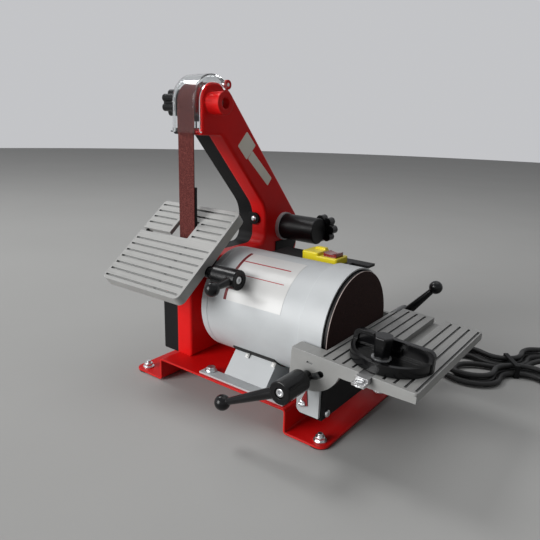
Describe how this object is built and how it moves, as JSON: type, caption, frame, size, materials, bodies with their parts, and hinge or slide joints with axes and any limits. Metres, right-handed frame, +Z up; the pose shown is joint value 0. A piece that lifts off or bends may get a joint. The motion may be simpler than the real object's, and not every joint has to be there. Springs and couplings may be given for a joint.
{
  "type": "belt and disc sander",
  "caption": "Bench sander with a narrow upright belt on a leaning arm and a vertical disc, both driven by one motor, each with a tilting grooved table.",
  "frame": {"origin": "middle of the machine's box on the bench, without the loose lead", "axes": "+X along the motor shaft to the disc, -Y to the operator, +Z up"},
  "size_m": [0.5122, 0.5206, 0.365],
  "materials": {
    "red_paint": "gloss paint",
    "grey_paint": "satin paint",
    "cast_grey": "cast and painted",
    "black_plastic": "fine grain",
    "black_paint": "satin",
    "steel": "turned",
    "bright": "zinc plated",
    "rubber": "matt",
    "grit_belt": "abrasive cloth",
    "grit_disc": "abrasive paper",
    "yellow": "moulded",
    "switch_red": "tinted",
    "pointer_red": "moulded",
    "clear": "smoked clear plastic",
    "cord_black": "smooth",
    "laminated": "stacked sheet",
    "wheel_alloy": "turned"
  },
  "bodies": {
    "frame": {"base_plate": "red_paint", "rubber_feet": "rubber", "foot_screws": "bright", "motor_mount": "grey_paint", "mount_screws": "bright", "mount_pads": "rubber", "motor_body": "grey_paint", "motor_end_cap": "grey_paint", "motor_stator": "laminated", "motor_bearings": "steel", "disc_guard": "grey_paint", "lower_guard": "black_plastic", "belt_housing": "red_paint", "side_cover": "black_plastic", "platen": "black_paint", "top_axle": "steel", "rear_axle": "steel", "sanding_belt": "grit_belt", "tracking_housing": "black_plastic", "tracking_ring": "grey_paint", "arm_bolt": "bright", "visor_pin": "steel", "table_bracket": "black_paint", "front_bracket": "grey_paint", "rear_bracket": "grey_paint", "lock_studs": "steel", "tilt_pointer": "pointer_red", "pan_screws": "bright", "switch_bracket": "black_plastic", "switch_box": "yellow", "cord_gland": "rubber", "cord": "cord_black", "cord_hank": "cord_black", "cord_tie": "black_plastic", "plug": "rubber"},
    "rotor": {"motor_shaft": "steel", "rotor_core": "laminated", "drive_wheel": "wheel_alloy", "disc_plate": "black_paint", "abrasive_disc": "grit_disc"},
    "top_wheel": {"top_wheel": "wheel_alloy"},
    "rear_wheel": {"rear_wheel": "wheel_alloy"},
    "visor": {"visor": "clear"},
    "belt_table": {"belt_table": "cast_grey", "table_quadrant": "black_paint", "table_pin": "black_plastic"},
    "belt_lever": {"belt_table_lever": "black_plastic", "belt_lever_screw": "bright"},
    "disc_table": {"disc_table": "cast_grey"},
    "front_lever": {"front_lever": "black_plastic", "front_lever_screw": "bright"},
    "rear_lever": {"rear_lever": "black_plastic", "rear_lever_screw": "bright"},
    "mitre_bar": {"mitre_bar": "steel"},
    "mitre_head": {"mitre_head": "black_plastic", "mitre_washer": "bright"},
    "mitre_knob": {"mitre_knob": "black_plastic"},
    "tracking_knob": {"tracking_knob": "black_plastic"},
    "cover_knob": {"cover_knob": "black_plastic"},
    "switch_rocker": {"switch_rocker": "switch_red"}
  },
  "joints": [
    {"name": "rotor_spin", "type": "hinge", "parent": "frame", "child": "rotor", "pos_m": [-0.0375, -0.01678, 0.104], "axis": [1, 0, 0], "continuous": true},
    {"name": "top_wheel_spin", "type": "hinge", "parent": "frame", "child": "top_wheel", "pos_m": [-0.1281, -0.02927, 0.333], "axis": [1, 0, 0], "continuous": true},
    {"name": "rear_wheel_spin", "type": "hinge", "parent": "frame", "child": "rear_wheel", "pos_m": [-0.1281, 0.11782, 0.17], "axis": [1, 0, 0], "continuous": true},
    {"name": "visor_hinge", "type": "hinge", "parent": "frame", "child": "visor", "pos_m": [-0.1076, -0.00278, 0.3546], "axis": [1, 0, 0], "range_deg": [-80, 0]},
    {"name": "belt_table_tilt", "type": "hinge", "parent": "frame", "child": "belt_table", "pos_m": [-0.13, -0.05178, 0.1898], "axis": [1, 0, 0], "range_deg": [-37.8, 1]},
    {"name": "belt_lever_turn", "type": "hinge", "parent": "frame", "child": "belt_lever", "pos_m": [-0.0655, -0.07871, 0.14866], "axis": [1, 0, 0], "range_deg": [-60, 50]},
    {"name": "disc_table_tilt", "type": "hinge", "parent": "frame", "child": "disc_table", "pos_m": [0.0855, -0.01077, 0.101], "axis": [0, 1, 0], "range_deg": [-2.9, 42.1]},
    {"name": "front_lever_turn", "type": "hinge", "parent": "frame", "child": "front_lever", "pos_m": [0.0855, -0.12377, 0.08], "axis": [0, 1, 0], "range_deg": [-20, 100]},
    {"name": "rear_lever_turn", "type": "hinge", "parent": "frame", "child": "rear_lever", "pos_m": [0.0855, 0.10322, 0.08], "axis": [0, 1, 0], "range_deg": [-45, 60]},
    {"name": "mitre_slide", "type": "slide", "parent": "disc_table", "child": "mitre_bar", "axis": [0, 1, 0], "range_m": [-0.03, 0.1]},
    {"name": "mitre_swivel", "type": "hinge", "parent": "mitre_bar", "child": "mitre_head", "pos_m": [0.14606, -0.06477, 0.10054], "axis": [0.0506, 0, 0.9987], "range_deg": [-45, 45]},
    {"name": "mitre_knob_turn", "type": "hinge", "parent": "mitre_head", "child": "mitre_knob", "pos_m": [0.14706, -0.07477, 0.10049], "axis": [0.0506, 0, 0.9987], "continuous": true},
    {"name": "tracking_knob_turn", "type": "hinge", "parent": "frame", "child": "tracking_knob", "pos_m": [-0.0531, 0.13633, 0.17], "axis": [0, 1, 0], "continuous": true},
    {"name": "cover_knob_turn", "type": "hinge", "parent": "frame", "child": "cover_knob", "pos_m": [-0.1655, -0.02927, 0.333], "axis": [1, 0, 0], "continuous": true},
    {"name": "switch_rocker_tip", "type": "hinge", "parent": "frame", "child": "switch_rocker", "pos_m": [0.022, 0.04372, 0.159], "axis": [0, 1, 0], "range_deg": [-6, 6]}
  ],
  "couplings": [
    {"joint": "top_wheel_spin", "follows": "rotor_spin", "ratio": 1.5708},
    {"joint": "rear_wheel_spin", "follows": "rotor_spin", "ratio": 1.5708}
  ]
}
